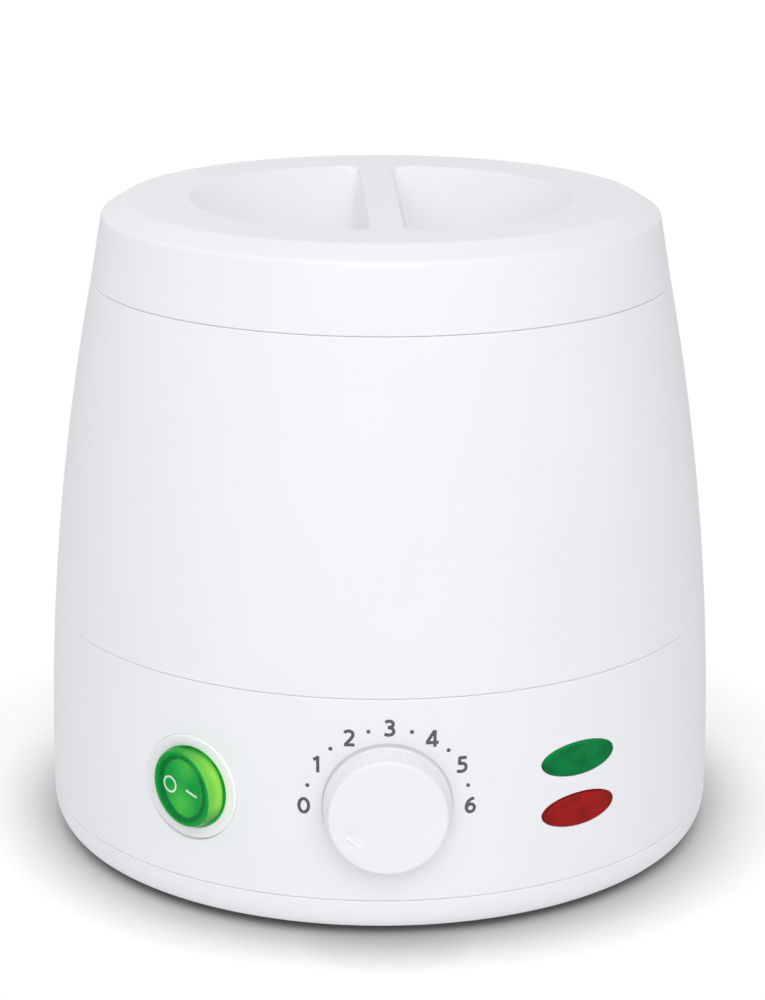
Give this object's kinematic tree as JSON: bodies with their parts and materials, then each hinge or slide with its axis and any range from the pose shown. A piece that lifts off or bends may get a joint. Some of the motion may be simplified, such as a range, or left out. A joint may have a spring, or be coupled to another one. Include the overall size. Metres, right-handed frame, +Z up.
{
  "type": "wax warmer",
  "caption": "Tabletop wax warmer: tapered round housing, lift-off lid with finger scoops, lift-out pot, thermostat knob, rocker switch and oval lamps.",
  "frame": {"origin": "on the floor plane, under the middle of the round base", "axes": "+Z up along the body's axis, -Y towards the front with the knob, +X to the right as seen from the front"},
  "size_m": [0.153, 0.166, 0.145],
  "materials": {
    "shell": "white satin moulded plastic",
    "inner": "off-white moulded plastic",
    "aluminium": "spun and brushed",
    "steel": "zinc plated",
    "brass": "plain",
    "silicone": "matt silicone",
    "blanket": "needled glass fibre",
    "ceramic": "matt",
    "bezel": "frosted, slightly translucent",
    "rocker_green": "translucent green, polished",
    "lens_green": "translucent dark green, polished",
    "lens_red": "translucent dark red, polished",
    "neon": "clear",
    "rubber": "matt",
    "lead": "silicone sleeved wire"
  },
  "bodies": {
    "housing": {"upper_housing": "shell", "base_housing": "shell", "bottom_cover": "shell", "heating_well": "aluminium", "well_gasket": "silicone", "band_heater": "steel", "band_clamp_screw": "steel", "band_clamp_nut": "steel", "insulation_blanket": "blanket", "well_strap": "steel", "thermal_cutout": "ceramic", "thermostat_body": "steel", "thermostat_nut": "brass", "sensor_bulb": "brass", "bulb_clip": "steel", "capillary_tube": "brass", "switch_body": "bezel", "switch_blade_line": "brass", "switch_blade_load": "brass", "switch_blade_neutral": "brass", "green_lens": "lens_green", "red_lens": "lens_red", "lamp_holder": "inner", "neon_bulb_green": "neon", "neon_bulb_red": "neon", "cord_gland": "inner", "gland_nut": "inner", "terminal_block": "ceramic", "terminal_block_screw": "steel", "rubber_foot_front_right": "rubber", "rubber_foot_back_right": "rubber", "rubber_foot_back_left": "rubber", "rubber_foot_front_left": "rubber", "cover_screw_front_right": "steel", "cover_screw_back_right": "steel", "cover_screw_back_left": "steel", "cover_screw_front_left": "steel", "housing_screw_front_right": "steel", "housing_screw_back_right": "steel", "housing_screw_back_left": "steel", "housing_screw_front_left": "steel", "strap_screw_right": "steel", "strap_screw_left": "steel", "lead_supply": "lead", "lead_switched": "lead", "lead_thermostat": "lead", "lead_heater": "lead", "lead_return": "lead"},
    "pot": {"wax_pot": "aluminium", "pot_ear_left": "aluminium", "pot_ear_right": "aluminium"},
    "bail": {"pot_bail": "steel"},
    "lid": {"lid_shell": "shell"},
    "knob": {"control_knob": "shell", "thermostat_shaft": "steel"},
    "rocker": {"switch_rocker": "rocker_green"}
  },
  "joints": [
    {"name": "pot_lift", "type": "slide", "parent": "housing", "child": "pot", "axis": [0, 0, 1], "range_m": [0, 0.09]},
    {"name": "lid_lift", "type": "slide", "parent": "pot", "child": "lid", "axis": [0, 0, 1], "range_m": [0, 0.12]},
    {"name": "bail_swing", "type": "hinge", "parent": "pot", "child": "bail", "pos_m": [0, 0, 0.1318], "axis": [1, 0, 0], "range_deg": [0, 90]},
    {"name": "knob_turn", "type": "hinge", "parent": "housing", "child": "knob", "pos_m": [0, -0.083, 0.0299], "axis": [0, 1, 0], "range_deg": [0, 213]},
    {"name": "rocker_tip", "type": "hinge", "parent": "housing", "child": "rocker", "pos_m": [-0.04161, -0.06359, 0.0294], "axis": [0, 0, 1], "range_deg": [0, 26]}
  ],
  "couplings": [
    {"joint": "bail_swing", "follows": "lid_lift", "rad_per_m": 13}
  ]
}
